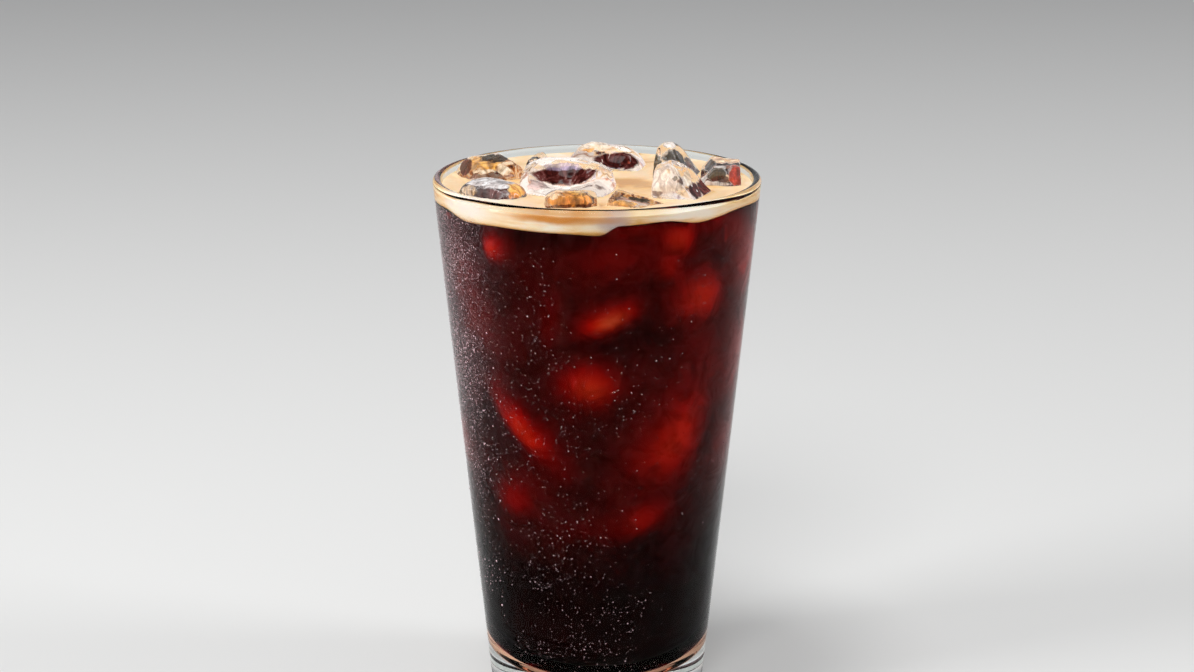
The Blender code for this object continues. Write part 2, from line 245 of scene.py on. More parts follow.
ICE = {
    "ice_left_back": IceLook(
        0.1, 0.25, AMBER, (0.88, 0.76, 0.58), 120.0, AMBER_FILM,
        (
            Patch((-31.0, 6.0, 150.4), (5.5, 4.5, 2.2), (0.66, 0.29, 0.05), 0.85),
            Patch((-36.0, 7.0, 149.8), (2.2, 4.0, 2.8), MAROON, 0.95),
            Patch((-28.0, 8.0, 152.0), (4.4, 3.6, 1.3), BLACK, 0.95),
            Patch((-25.5, 4.0, 149.6), (1.9, 2.2, 1.5), CREAM, 0.80),
            Patch((-31.0, 2.6, 149.4), (3.4, 1.6, 0.8), CREAM, 0.80),
            Patch((-30.0, 1.5, 148.0), (6.5, 2.0, 0.9), MAROON, 0.80),
        ),
    ),
    "ice_left_front": IceLook(
        0.8, 0.55, (0.44, 0.36, 0.35), WHITE, 140.0, DARK_FILM,
        (
            Patch((-28.0, -17.0, 150.6), (9.0, 6.0, 1.3), (0.72, 0.64, 0.62), 0.85),
            Patch((-29.5, -20.5, 148.2), (7.5, 3.0, 1.5), MAROON, 0.92),
            Patch((-33.5, -17.5, 148.4), (2.6, 3.0, 1.4), TAN, 0.70),
            Patch((-20.5, -18.5, 148.8), (3.6, 4.4, 1.8), (0.78, 0.32, 0.06), 0.92),
            Patch((-22.0, -21.0, 147.6), (2.8, 2.0, 0.9), AMBER, 0.85),
        ),
    ),
    "ice_centre": IceLook(
        1.0, 0.36, (0.42, 0.30, 0.29), (0.68, 0.54, 0.46), 110.0, PALE_FILM,
        (
            Patch((-8.3, -8.6, 150.6), (10.2, 3.8, 2.5), MAROON, 1.0),
            # Painted reflection: the light above, lilac, mirrored in the coffee pooled in the hollow
            Patch((-9.0, -6.0, 152.2), (6.6, 1.6, 1.0), (0.34, 0.26, 0.36), 0.75),
            Patch((-15.2, -13.6, 148.9), (3.6, 3.4, 1.9), (0.42, 0.27, 0.25), 0.80),
            Patch((-4.0, -15.4, 148.4), (6.5, 1.6, 1.3), MAROON, 0.88),
            Patch((-11.0, -15.6, 147.5), (4.5, 1.6, 0.8), AMBER, 0.80),
        ),
    ),
    "ice_front": IceLook(
        0.2, 0.30, (0.34, 0.11, 0.02), (0.88, 0.68, 0.44), 200.0, AMBER_FILM,
        (
            Patch((-7.0, -31.0, 148.9), (6.8, 3.4, 2.0), (0.52, 0.19, 0.030), 0.95),
            Patch((-11.5, -31.0, 149.9), (1.8, 2.0, 0.8), CREAM, 0.60),
            Patch((-3.3, -32.0, 147.2), (2.2, 1.5, 1.1), MAROON, 0.90),
            Patch((-9.0, -32.2, 147.6), (2.4, 1.4, 0.8), MAROON, 0.85),
            Patch((-5.0, -29.5, 150.4), (2.4, 1.8, 0.7), GOLD, 0.60),
        ),
    ),
    "ice_back": IceLook(
        1.0, 0.30, PEACH, (0.90, 0.80, 0.70), 120.0, PALE_FILM,
        (
            Patch((-2.0, 25.0, 152.2), (7.0, 6.0, 1.4), CREAM, 0.65),
            Patch((-3.0, 21.5, 151.8), (2.2, 1.5, 0.8), (0.72, 0.30, 0.06), 0.90),
            Patch((5.6, 17.6, 149.4), (7.4, 4.4, 3.2), MAROON, 1.0),
            Patch((8.4, 16.4, 149.6), (2.2, 2.0, 1.0), (0.30, 0.05, 0.03), 0.85),
        ),
    ),
    "ice_right_back": IceLook(
        0.1, 0.30, OLIVE, WHITE, 150.0, DARK_FILM,
        (
            Patch((20.3, 9.0, 155.4), (2.8, 3.0, 1.1), WHITE, 0.75),
            Patch((21.2, 7.6, 152.2), (4.0, 3.2, 2.2), BLACK, 0.95),
            Patch((16.3, 7.0, 150.2), (2.0, 3.0, 3.2), OLIVE, 0.92),
            Patch((25.7, 10.5, 149.8), (2.6, 3.0, 2.4), MAROON, 0.90),
            Patch((19.0, 5.8, 149.2), (1.2, 2.0, 2.2), TAN, 0.80),
        ),
    ),
    "ice_right_front": IceLook(
        0.1, 0.45, (0.48, 0.38, 0.38), WHITE, 130.0, PALE_FILM,
        (
            Patch((18.0, -20.6, 151.8), (5.4, 4.0, 4.6), (0.64, 0.50, 0.42), 0.75),
            Patch((24.0, -17.5, 151.8), (1.3, 4.0, 4.0), CREAM, 0.75),
            Patch((21.6, -20.4, 150.2), (0.9, 2.0, 3.2), MAROON, 0.92),
            Patch((26.0, -19.5, 148.8), (2.3, 4.0, 3.2), MAROON, 1.0),
            Patch((29.4, -14.0, 149.0), (3.4, 5.5, 3.6), (0.09, 0.012, 0.008), 1.0),
            Patch((20.3, -21.2, 152.5), (0.9, 1.0, 0.9), BLACK, 0.80),
            Patch((18.6, -20.2, 154.0), (0.6, 1.0, 0.5), TAN, 0.80),
            Patch((15.4, -21.4, 148.4), (1.6, 2.0, 0.9), MAROON, 0.80),
        ),
    ),
    "ice_right": IceLook(
        0.2, 0.25, PEACH, WHITE, 150.0, DARK_FILM,
        (
            Patch((35.0, 2.5, 152.8), (4.6, 6.0, 0.8), PEACH, 0.80),
            Patch((30.2, 2.0, 151.4), (2.4, 4.4, 1.8), BLACK, 0.95),
            Patch((31.6, -5.2, 150.5), (3.6, 2.8, 2.0), OLIVE, 0.95),
            Patch((33.2, -5.8, 148.9), (2.6, 1.8, 1.2), MAROON, 0.90),
            Patch((32.0, -5.6, 147.5), (3.5, 1.6, 1.0), WHITE, 0.70),
            # Painted glow: red light shining through the coffee onto the right facet
            Patch((37.4, -4.6, 149.9), (2.3, 3.6, 3.6), (0.36, 0.030, 0.014), 0.95),
        ),
    ),
    "ice_wedge": IceLook(
        0.2, 0.15, TAN, CREAM, 150.0, AMBER_FILM,
        (
            Patch((7.2, -30.2, 147.8), (4.6, 1.5, 0.9), (0.62, 0.27, 0.05), 0.85),
            Patch((3.4, -29.5, 147.0), (2.2, 2.2, 1.3), (0.42, 0.25, 0.13), 0.85),
            Patch((10.5, -27.2, 148.1), (7.4, 0.9, 0.9), BLACK, 0.95),
        ),
    ),
    "ice_shard": IceLook(0.1, 0.30, GREY_LILAC, WHITE, 150.0, DARK_FILM, ()),
}


class Sunk(NamedTuple):
    """A piece of ice under the foam, placed where the photograph shows its glow through the wall. Azimuth and
    roll are in degrees, and depth is how far behind the wall it lies."""

    azimuth: float
    height: float
    width: float
    length: float
    roll: float
    depth: float


SUNK = (
    Sunk(-41.8, 136.0, 7, 7, 10, 0.9),
    Sunk(8.0, 134.5, 24, 11, 4, 2.6),
    Sunk(30.7, 139.5, 9, 8, 0, 0.9),
    Sunk(14.0, 143.5, 20, 6, 0, 1.8),
    Sunk(46.0, 143.0, 14, 6, 0, 2.0),
    Sunk(62.0, 138.0, 12, 10, 0, 2.2),
    Sunk(27.5, 132.0, 7, 8, 30, 1.6),
    Sunk(5.2, 118.8, 14, 7, 22, 0.5),
    Sunk(44.7, 123.0, 17, 13, -10, 0.9),
    Sunk(-18.6, 118.3, 6, 14, -10, 3.2),
    Sunk(-2.8, 99.9, 14, 10, -6, 0.8),
    Sunk(14.0, 100.5, 20, 10, 8, 3.4),
    Sunk(-34.5, 86.3, 22, 8, -44, 0.9),
    Sunk(37.0, 83.1, 25, 16, 52, 1.0),
    Sunk(21.7, 60.5, 16, 8, 16, 1.6),
    Sunk(-43.5, 64.8, 12, 9, 0, 2.2),
    Sunk(-62.0, 121.0, 14, 24, 20, 2.6),
    Sunk(50.0, 103.0, 18, 18, 20, 2.8),
    Sunk(78.0, 128.0, 20, 20, 0, 1.2),
    Sunk(84.0, 101.0, 22, 24, 10, 1.4),
    Sunk(86.0, 76.0, 18, 20, -10, 1.8),
    Sunk(118.0, 114.0, 18, 14, 20, 1.0),
    Sunk(150.0, 128.0, 16, 10, -10, 1.0),
    Sunk(176.0, 104.0, 16, 12, 30, 1.2),
    Sunk(-152.0, 121.0, 15, 12, -24, 0.9),
    Sunk(-120.0, 99.0, 20, 12, 18, 1.0),
    Sunk(-98.0, 126.0, 14, 12, 0, 1.4),
    Sunk(-92.0, 76.0, 15, 12, -30, 1.2),
    Sunk(-150.0, 80.0, 16, 10, 30, 1.2),
    Sunk(150.0, 78.0, 20, 11, -20, 1.0),
    Sunk(118.0, 62.0, 14, 9, 12, 1.5),
    Sunk(-176.0, 56.0, 12, 9, -12, 1.6),
)


class Lamp(NamedTuple):
    """An area lamp. power is in watts."""

    name: str
    place: tuple
    aim: tuple
    size: tuple
    power: float


LAMPS = (
    Lamp("key", (-0.16, -0.10, 0.90), (0, 0, 0.14), (0.22, 0.22), 2.2),
    Lamp("left", (-1.80, -0.60, 0.80), (0, 0, 0.1), (0.6, 1.1), 24.0),
    Lamp("right", (1.80, -0.13, 0.80), (0, 0, 0.1), (0.5, 1.1), 15.0),
    Lamp("front", (-0.45, -1.70, 1.65), (0, 0, 0.09), (1.0, 0.8), 19.0),
)


# Meshes


def link(name, data):
    """A new object of the scene with the given mesh, light or camera."""
    piece = bpy.data.objects.new(name, data)
    bpy.context.scene.collection.objects.link(piece)
    return piece


def mesh_of(name, points, faces):
    mesh = bpy.data.meshes.new(name)
    mesh.from_pydata([tuple(p) for p in points], [], faces)
    mesh.validate()
    mesh.shade_smooth()
    return mesh


def arc(centre_r, centre_z, radius, start, end, count):
    """Points of an arc in the (r, z) plane, from start to end degrees, ends included."""
    points = []
    for i in range(count + 1):
        angle = math.radians(start + (end - start) * i / count)
        points.append((centre_r + radius * math.cos(angle), centre_z + radius * math.sin(angle)))
    return points


def outer_radius(z):
    return FOOT_RADIUS + (RIM_RADIUS - FOOT_RADIUS) * z / GLASS_HEIGHT


def inner_radius(z):
    return outer_radius(z) - (FOOT_WALL + (RIM_WALL - FOOT_WALL) * z / GLASS_HEIGHT)


def cavity(inset):
    """The bottom of the glass's inside, from the axis to where the wall starts, moved in by inset."""
    lean = math.atan2(inner_radius(GLASS_HEIGHT) - inner_radius(0.0), GLASS_HEIGHT)
    centre_z = BASE_THICKNESS + INNER_CORNER
    centre_r = inner_radius(centre_z) - INNER_CORNER / math.cos(lean)
    corner = arc(centre_r, centre_z, INNER_CORNER - inset, -90, -math.degrees(lean), 24)
    floor = [(corner[0][0] * i / 6, BASE_THICKNESS + inset) for i in range(6)]
    return floor + corner


def between(start, end, count):
    """Points on a straight line, without its ends."""
    return [
        (start[0] + (end[0] - start[0]) * i / count, start[1] + (end[1] - start[1]) * i / count)
        for i in range(1, count)
    ]


def glass_profile():
    """The glass's outline from the axis inside, over the rim and down to the axis under the foot."""
    half = RIM_WALL / 2
    inside = cavity(0.0)
    rim = arc(RIM_RADIUS - half, GLASS_HEIGHT - half, half, 180, 0, 16)
    foot = arc(outer_radius(FOOT_ROUND) - FOOT_ROUND, FOOT_ROUND, FOOT_ROUND, -4, -90, 10)
    ring_inner = foot[-1][0] - FOOT_RING_WIDTH
    punt = []
    for i in range(9):
        angle = i * math.pi / 16
        punt.append((ring_inner * math.cos(angle), PUNT_HEIGHT * math.sin(angle)))
    brim = (inner_radius(FOAM_LEVEL), FOAM_LEVEL)
    wall_in = between(inside[-1], brim, 24) + [brim] + between(brim, rim[0], 4)
    wall_out = between(rim[-1], foot[0], 24)
    return inside + wall_in + rim + wall_out + foot + punt


def round_shell(name, profile_at, steps):
    """A closed shell round Z. profile_at(azimuth) is its outline there, as (r, z) points from axis to axis, as
    many at each azimuth."""
    columns = [profile_at(360.0 * k / steps - 180.0) for k in range(steps)]
    points, rows = [], []
    for i in range(len(columns[0])):
        if columns[0][i][0] < 1e-6:
            rows.append([len(points)] * steps)
            points.append((0.0, 0.0, columns[0][i][1]))
            continue
        rows.append(list(range(len(points), len(points) + steps)))
        for k, column in enumerate(columns):
            angle = 2 * math.pi * k / steps - math.pi
            r, z = column[i]
            points.append((r * math.sin(angle), -r * math.cos(angle), z))
    faces = []
    for low, high in zip(rows, rows[1:]):
        for k in range(steps):
            ring = [low[k], low[(k + 1) % steps], high[(k + 1) % steps], high[k]]
            faces.append(list(dict.fromkeys(ring)))
    return mesh_of(name, points, faces)


def foam_edge(azimuth):
    """Height of the foam's lower edge at the wall, eased between the marks of FOAM_EDGE."""
    marks = [*FOAM_EDGE, (FOAM_EDGE[0][0] + 360, FOAM_EDGE[0][1])]
    if azimuth < marks[0][0]:
        azimuth += 360
    for (start, before), (end, after) in zip(marks, marks[1:]):
        if start <= azimuth <= end:
            share = (azimuth - start) / (end - start)
            share = share * share * (3 - 2 * share)
            return GLASS_HEIGHT - (before + (after - before) * share)
    return GLASS_HEIGHT - marks[0][1]


def foam_floor(x, y):
    """Height of the foam's lower face, which falls or climbs to its edge at the wall."""
    azimuth = math.degrees(math.atan2(x, -y))
    outward = min(1.0, math.hypot(x, y) / inner_radius(FOAM_LEVEL))
    return FOAM_MIDDLE_FLOOR + (foam_edge(azimuth) - FOAM_MIDDLE_FLOOR) * outward**3


# Materials


class Look:
    """A material's node tree, with short ways to add and join nodes."""

    def __init__(self, name):
        self.material = bpy.data.materials.new(name)
        self.material.use_nodes = True
        self.tree = self.material.node_tree
        self.tree.nodes.clear()
        self.out = self.node("OutputMaterial")

    def node(self, kind, **values):
        made = self.tree.nodes.new("ShaderNode" + kind)
        for key, value in values.items():
            setattr(made, key, value)
        return made

    def join(self, source, target):
        self.tree.links.new(source, target)

    def set(self, node, **values):
        for key, value in values.items():
            node.inputs[key.replace("_", " ")].default_value = value


def principled(look, **values):
    shader = look.node("BsdfPrincipled")
    look.set(shader, **values)
    return shader


def let_lamps_through(look, shader, tint):
    """Shows the shader, but lets lamp light straight through, tinted, as thin clear things do."""
    path = look.node("LightPath")
    clear = look.node("BsdfTransparent")
    clear.inputs["Color"].default_value = (*tint, 1.0)
    mix = look.node("MixShader")
    look.join(path.outputs["Is Shadow Ray"], mix.inputs[0])
    look.join(shader.outputs[0], mix.inputs[1])
    look.join(clear.outputs[0], mix.inputs[2])
    look.join(mix.outputs[0], look.out.inputs["Surface"])


def object_noise(look, scale, detail=3.0, stretch=(1.0, 1.0, 1.0), roughness=0.5, distortion=0.0):
    """Noise in the object's own space. scale is in turns a metre."""
    where = look.node("TexCoord")
    sizing = look.node("Mapping")
    sizing.inputs["Scale"].default_value = stretch
    texture = look.node("TexNoise")
    look.set(texture, Scale=scale, Detail=detail, Roughness=roughness, Distortion=distortion)
    look.join(where.outputs["Object"], sizing.inputs["Vector"])
    look.join(sizing.outputs["Vector"], texture.inputs["Vector"])
    return texture


def ramp(look, source, stops):
    """A colour ramp over (place, (r, g, b)) stops."""
    made = look.node("ValToRGB")
    bar = made.color_ramp
    bar.elements[0].position = stops[0][0]
    bar.elements[0].color = (*stops[0][1], 1.0)
    bar.elements[1].position = stops[-1][0]
    bar.elements[1].color = (*stops[-1][1], 1.0)
    for place, colour in stops[1:-1]:
        bar.elements.new(place).color = (*colour, 1.0)
    look.join(source, made.inputs["Fac"])
    return made


def bump(look, height, shader, strength, distance):
    made = look.node("Bump")
    look.set(made, Strength=strength, Distance=distance)
    look.join(height, made.inputs["Height"])
    look.join(made.outputs["Normal"], shader.inputs["Normal"])


def eased(look, value, low, high):
    """A smooth step of a value, as a socket."""
    step = look.node("MapRange", interpolation_type="SMOOTHSTEP")
    look.set(step, From_Min=low, From_Max=high)
    look.join(value, step.inputs["Value"])
    return step.outputs["Result"]


def maths(look, operation, *values):
    made = look.node("Math", operation=operation)
    for place, value in enumerate(values):
        if isinstance(value, (int, float)):
            made.inputs[place].default_value = value
        else:
            look.join(value, made.inputs[place])
    return made.outputs[0]


def glass_look(name):
    """Clear glass. Its outside shines hardly at all and carries the finest mist, and from within it is a mirror
    where real glass is one."""
    look = Look(name)
    bent = look.node("BsdfRefraction")
    look.set(bent, Color=(*GLASS_TINT, 1.0), Roughness=0.0, IOR=GLASS_IOR)
    shine = look.node("BsdfGlossy")
    look.set(shine, Color=(1.0, 1.0, 1.0, 1.0), Roughness=0.02)
    outside = look.node("Fresnel")
    look.set(outside, IOR=SHINE_IOR)
    within = look.node("Fresnel")
    look.set(within, IOR=GLASS_IOR)
    side = look.node("NewGeometry").outputs["Backfacing"]
    inner = maths(look, "MULTIPLY", within.outputs[0], side)
    share = maths(look, "MAXIMUM", outside.outputs[0], inner)
    mix = look.node("MixShader")
    look.join(share, mix.inputs[0])
    look.join(bent.outputs[0], mix.inputs[1])
    look.join(shine.outputs[0], mix.inputs[2])
    haze = principled(look, Base_Color=(*MIST_TONE, 1.0), Roughness=0.35, Specular_IOR_Level=0.2)
    misted = look.node("MixShader")
    look.join(mist_share(look), misted.inputs[0])
    look.join(mix.outputs[0], misted.inputs[1])
    look.join(haze.outputs[0], misted.inputs[2])
    let_lamps_through(look, misted, (0.96, 0.98, 0.97))
    return look.material


def mist_share(look):
    """How much of the glass's face the finest mist covers: grains on the left side, too small to model."""
    where = look.node("TexCoord")
    axes = look.node("SeparateXYZ")
    look.join(where.outputs["Object"], axes.inputs[0])
    x, z = axes.outputs["X"], axes.outputs["Z"]
    radius = maths(look, "MULTIPLY_ADD", z, (RIM_RADIUS - FOOT_RADIUS) / GLASS_HEIGHT, FOOT_RADIUS)
    left = eased(look, maths(look, "DIVIDE", x, radius), *MIST_LEFT)
    tall = maths(look, "MULTIPLY", eased(look, z, *MIST_RISE), eased(look, z, *MIST_TOP))
    grain = look.node("TexVoronoi")
    look.set(grain, Scale=MIST_GRAIN)
    look.join(where.outputs["Object"], grain.inputs["Vector"])
    dots = eased(look, grain.outputs["Distance"], 0.50, 0.22)
    drifts = object_noise(look, 55.0, 3.0)
    drift = eased(look, drifts.outputs["Fac"], 0.18, 0.50)
    place = maths(look, "MULTIPLY", left, tall)
    share = maths(look, "MULTIPLY", place, maths(look, "MULTIPLY", dots, drift))
    return maths(look, "MULTIPLY", share, MIST_COVER)


def wetted_look(name, ior):
    """A face between two clear things. It bends light, and is a mirror from within where light can't leave."""
    look = Look(name)
    shader = look.node("BsdfRefraction")
    look.set(shader, Color=(1.0, 1.0, 1.0, 1.0), Roughness=0.0, IOR=ior)
    mirror = look.node("BsdfGlossy")
    look.set(mirror, Color=(1.0, 1.0, 1.0, 1.0), Roughness=0.0)
    fresnel = look.node("Fresnel")
    look.set(fresnel, IOR=ior)
    side = look.node("NewGeometry").outputs["Backfacing"]
    total = maths(look, "MULTIPLY", eased(look, fresnel.outputs[0], MIRROR_FROM, MIRROR_FULL), side)
    mix = look.node("MixShader")
    look.join(total, mix.inputs[0])
    look.join(shader.outputs[0], mix.inputs[1])
    look.join(mirror.outputs[0], mix.inputs[2])
    let_lamps_through(look, mix, (1.0, 1.0, 1.0))
    return look.material


def water_look():
    """Fine water drops, clouded a little so that each catches the light."""
    look = Look("condensation")
    shader = principled(
        look, Base_Color=(*DROP_TONE, 1.0), Roughness=0.15, IOR=WATER_IOR, Transmission_Weight=0.2
    )
    let_lamps_through(look, shader, (0.85, 0.83, 0.84))
    return look.material


def coffee_look():
    """Clear coffee that takes in light with depth, and red last."""
    material = wetted_look("coffee", WATER_IOR)
    tree = material.node_tree
    depth = tree.nodes.new("ShaderNodeVolumeAbsorption")
    depth.inputs["Color"].default_value = (*COFFEE_TINT, 1.0)
    depth.inputs["Density"].default_value = COFFEE_DENSITY
    tree.links.new(depth.outputs[0], tree.nodes["Material Output"].inputs["Volume"])
    return material


def foam_look():
    """Foam drawn out in streaks, browner at its lower edge and in a band under the brim."""
    look = Look("foam")
    shader = principled(
        look,
        Roughness=0.45,
        Specular_IOR_Level=0.3,
        Subsurface_Weight=0.3,
        Subsurface_Scale=0.0015,
        Subsurface_Radius=(1.0, 0.6, 0.35),
    )
    streaks = object_noise(look, 75.0, 5.0, stretch=(0.55, 0.55, 3.4), roughness=0.55, distortion=1.4)
    fibres = object_noise(look, 160.0, 3.0, stretch=(0.4, 0.4, 5.0), distortion=0.6)
    wide = maths(look, "MULTIPLY", streaks.outputs["Fac"], 0.65)
    blend = maths(look, "MULTIPLY_ADD", fibres.outputs["Fac"], 0.35, wide)
    colour = ramp(look, blend, FOAM_TONES).outputs["Color"]
    above = look.node("Attribute", attribute_name="above_edge").outputs["Fac"]
    rim = maths(look, "MULTIPLY", eased(look, above, 1.1 * MM, 0.0), 0.75)
    colour = mixed_colour(look, rim, colour, FOAM_EDGE_TONE)
    top = maths(look, "MULTIPLY", eased(look, above, 4.0 * MM, 8.0 * MM), 0.50)
    colour = mixed_colour(look, top, colour, FOAM_BRIM_TONE)
    where = wobbled(look, look.node("TexCoord").outputs["Object"], 130.0, (3 * MM, 3 * MM, 0.8 * MM))
    for patch in FOAM_PATCHES:
        share = ellipsoid_share(look, where, patch, 1.35, 0.35)
        colour = mixed_colour(look, share, colour, patch.colour)
    look.join(colour, shader.inputs["Base Color"])
    grain = object_noise(look, 1400.0, 2.0)
    bump(look, grain.outputs["Fac"], shader, 0.25, 0.2 * MM)
    look.join(shader.outputs[0], look.out.inputs["Surface"])
    return look.material


def wobbled(look, where, scale, reach):
    """The place, moved about by noise within reach, so that what is placed by it gets a wandering edge."""
    wander = object_noise(look, scale, 2.0)
    moved = look.node("VectorMath", operation="MULTIPLY_ADD")
    moved.inputs[1].default_value = [2 * r for r in reach]
    look.join(wander.outputs["Color"], moved.inputs[0])
    look.join(where, moved.inputs[2])
    centred = look.node("VectorMath", operation="SUBTRACT")
    centred.inputs[1].default_value = reach
    look.join(moved.outputs["Vector"], centred.inputs[0])
    return centred.outputs["Vector"]


def ellipsoid_share(look, where, patch, outer=1.08, inner=0.80):
    """The patch's amount in its ellipsoid, fading to 0 between inner and outer shares of its radii."""
    shift = look.node("VectorMath", operation="SUBTRACT")
    shift.inputs[1].default_value = [c * MM for c in patch.centre]
    look.join(where, shift.inputs[0])
    scaled = look.node("VectorMath", operation="MULTIPLY")
    scaled.inputs[1].default_value = [1 / (r * MM) for r in patch.radii]
    look.join(shift.outputs["Vector"], scaled.inputs[0])
    reach = look.node("VectorMath", operation="LENGTH")
    look.join(scaled.outputs["Vector"], reach.inputs[0])
    return maths(look, "MULTIPLY", eased(look, reach.outputs["Value"], outer, inner), patch.amount)


def mixed_colour(look, share, first, second):
    """The first colour giving way to the second by share. The second is a socket or an (r, g, b)."""
    made = look.node("Mix", data_type="RGBA")
    look.join(share, made.inputs["Factor"])
    look.join(first, made.inputs["A"])
    if isinstance(second, tuple):
        made.inputs["B"].default_value = (*second, 1.0)
    else:
        look.join(second, made.inputs["B"])
    return made.outputs["Result"]


def ice_look(name, ice):
    """Wet ice: clear, clouded in parts, stained in patches whose streaks carry painted glints (on some pieces a
    patch is a painted reflection or a painted glow), with painted highlights on its ridges, and filmed on its
    sunk faces.
    """
    look = Look(name)
    clear = principled(
        look, Base_Color=(1.0, 0.99, 0.98, 1.0), Roughness=0.04, IOR=ICE_IOR, Transmission_Weight=1.0
    )
    ripples = object_noise(look, 170.0, 2.0)
    bump(look, ripples.outputs["Fac"], clear, 0.35, 0.5 * MM)

    where = look.node("TexCoord").outputs["Object"]
    bent = wobbled(look, where, 420.0, (1.1 * MM, 1.1 * MM, 1.1 * MM))

    veins = object_noise(look, 230.0, 5.0, roughness=0.6, distortion=1.8)
    edge = 0.74 - 0.30 * ice.frost
    opacity = maths(look, "MULTIPLY", eased(look, veins.outputs["Fac"], edge - 0.05, edge + 0.12), 0.8)
    pale = object_noise(look, 500.0, 4.0, distortion=1.0)
    colour = ramp(look, pale.outputs["Fac"], [(0.35, ice.shade), (0.60, ice.pale)]).outputs["Color"]
    streaks = object_noise(look, 420.0, 4.0, stretch=(1.0, 1.0, 0.35), roughness=0.6, distortion=1.2)
    for patch in ice.patches:
        share = ellipsoid_share(look, bent, patch)
        darker = tuple(0.35 * c for c in patch.colour)
        lighter = tuple(min(1.0, 1.9 * c + 0.02) for c in patch.colour)
        # Each patch is streaked from darker to lighter, and where the streaks are brightest it takes the pale
        # tone as painted glints
        stops = [(0.38, darker), (0.52, patch.colour), (0.63, lighter), (0.68, lighter), (0.74, ice.pale)]
        colour = mixed_colour(look, share, colour, ramp(look, streaks.outputs["Fac"], stops).outputs["Color"])
        opacity = maths(look, "MAXIMUM", opacity, share)

    axes = look.node("SeparateXYZ")
    look.join(bent, axes.inputs[0])
    sunk = eased(look, axes.outputs["Z"], FOAM_LEVEL + 0.9 * MM, FOAM_LEVEL + 0.2 * MM)
    stain = object_noise(look, ice.grain, 3.0, distortion=2.0)
    film = ramp(look, stain.outputs["Fac"], ice.film).outputs["Color"]
    colour = mixed_colour(look, sunk, colour, film)
    under = eased(look, axes.outputs["Z"], FOAM_MIDDLE_FLOOR + 1.4 * MM, FOAM_MIDDLE_FLOOR - 0.4 * MM)
    colour = mixed_colour(look, under, colour, ICE_UNDER_FOAM)
    opacity = maths(look, "MAXIMUM", opacity, sunk)

    # Painted highlights: pale lines along the sharpest edges, broken up by the streaks
    ridge_highlight = eased(look, look.node("NewGeometry").outputs["Pointiness"], RIDGE, RIDGE + 0.05)
    broken = eased(look, streaks.outputs["Fac"], 0.36, 0.52)
    ridge_highlight = maths(look, "MULTIPLY", maths(look, "MULTIPLY", ridge_highlight, broken), 0.75)
    colour = mixed_colour(look, ridge_highlight, colour, ice.pale)
    opacity = maths(look, "MAXIMUM", opacity, ridge_highlight)

    solid = principled(look, Roughness=0.12, Specular_IOR_Level=0.12)
    look.join(colour, solid.inputs["Base Color"])
    mix = look.node("MixShader")
    look.join(opacity, mix.inputs[0])
    look.join(clear.outputs[0], mix.inputs[1])
    look.join(solid.outputs[0], mix.inputs[2])
    let_lamps_through(look, mix, (0.9, 0.9, 0.9))
    return look.material


def sunk_ice_look():
    """Clouded ice, with painted shade that darkens it toward the foot, where the photograph shows no glow."""
    look = Look("sunk_ice")
    shader = principled(look, Roughness=0.6, Specular_IOR_Level=0.1)
    cloud = object_noise(look, 150.0, 3.0, distortion=0.8)
    tone = ramp(look, cloud.outputs["Fac"], HEAP_TONES)
    axes = look.node("SeparateXYZ")
    look.join(look.node("TexCoord").outputs["Object"], axes.inputs[0])
    painted_foot_shade = eased(look, axes.outputs["Z"], *HEAP_DARK_BELOW)
    colour = mixed_colour(look, painted_foot_shade, tone.outputs["Color"], HEAP_DARK)
    look.join(colour, shader.inputs["Base Color"])
    look.join(shader.outputs[0], look.out.inputs["Surface"])
    return look.material


# Pieces


def evaluated(piece):
    """The mesh of a piece with its modifiers applied. The piece is removed."""
    graph = bpy.context.evaluated_depsgraph_get()
    mesh = bpy.data.meshes.new_from_object(piece.evaluated_get(graph))
    bpy.data.objects.remove(piece, do_unlink=True)
    return mesh


def moved_along_normals(mesh, by):
    """Moves each vertex along its normal by by(place), in metres."""
    normals = [v.normal.copy() for v in mesh.vertices]
    for vertex, normal in zip(mesh.vertices, normals):
        vertex.co += normal * by(vertex.co)


def make_glass():
    """The glass, with a look of its own for the inner faces that the drink wets."""
    profile = glass_profile()[::-1]
    profile.append(profile[0])
    mesh = round_shell("glass_body", lambda azimuth: profile, GLASS_STEPS)
    mesh.materials.append(glass_look("clear_glass"))
    mesh.materials.append(wetted_look("wetted_glass", GLASS_IOR))
    for face in mesh.polygons:
        place = face.center
        inside = math.hypot(place.x, place.y) < inner_radius(place.z) + 0.3 * MM
        covered = BASE_THICKNESS - 0.3 * MM < place.z < FOAM_LEVEL
        face.material_index = 1 if inside and covered else 0
    piece = link("pint_glass", mesh)
    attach(piece, "root")
    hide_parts("glass")


def melted(node, softness):
    """The solid of a piece of ice, evenly meshed, with the shallow waves that melting leaves above the foam."""
    rough = link(node + "_rough", NODES[node].data.copy())
    rough.data.materials.clear()
    weld = rough.modifiers.new("Weld", "WELD")
    weld.merge_threshold = WELD
    remesh = rough.modifiers.new("Even", "REMESH")
    remesh.mode = "VOXEL"
    remesh.voxel_size = VOXEL
    smooth = rough.modifiers.new("Melt", "SMOOTH")
    smooth.factor = 0.5
    smooth.iterations = 1 + round(4 * softness)
    mesh = evaluated(rough)

    def melt(place):
        above = min(1.0, max(0.0, (place.z - FOAM_LEVEL) / (1.5 * MM)))
        wide = noise.fractal(place * 150, 0.8, 2.0, 2)
        fine = noise.noise(place * 520)
        return above * (MELT_WAVES * wide + MELT_RIPPLES * fine)

    moved_along_normals(mesh, melt)
    mesh.shade_smooth()
    return mesh


def make_ice():
    for node, look in ICE.items():
        mesh = melted(node, look.melted)
        mesh.materials.append(ice_look(node.replace("ice", "clear_ice"), look))
        piece = link("melting_" + node, mesh)
        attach(piece, "root")
        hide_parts(node)


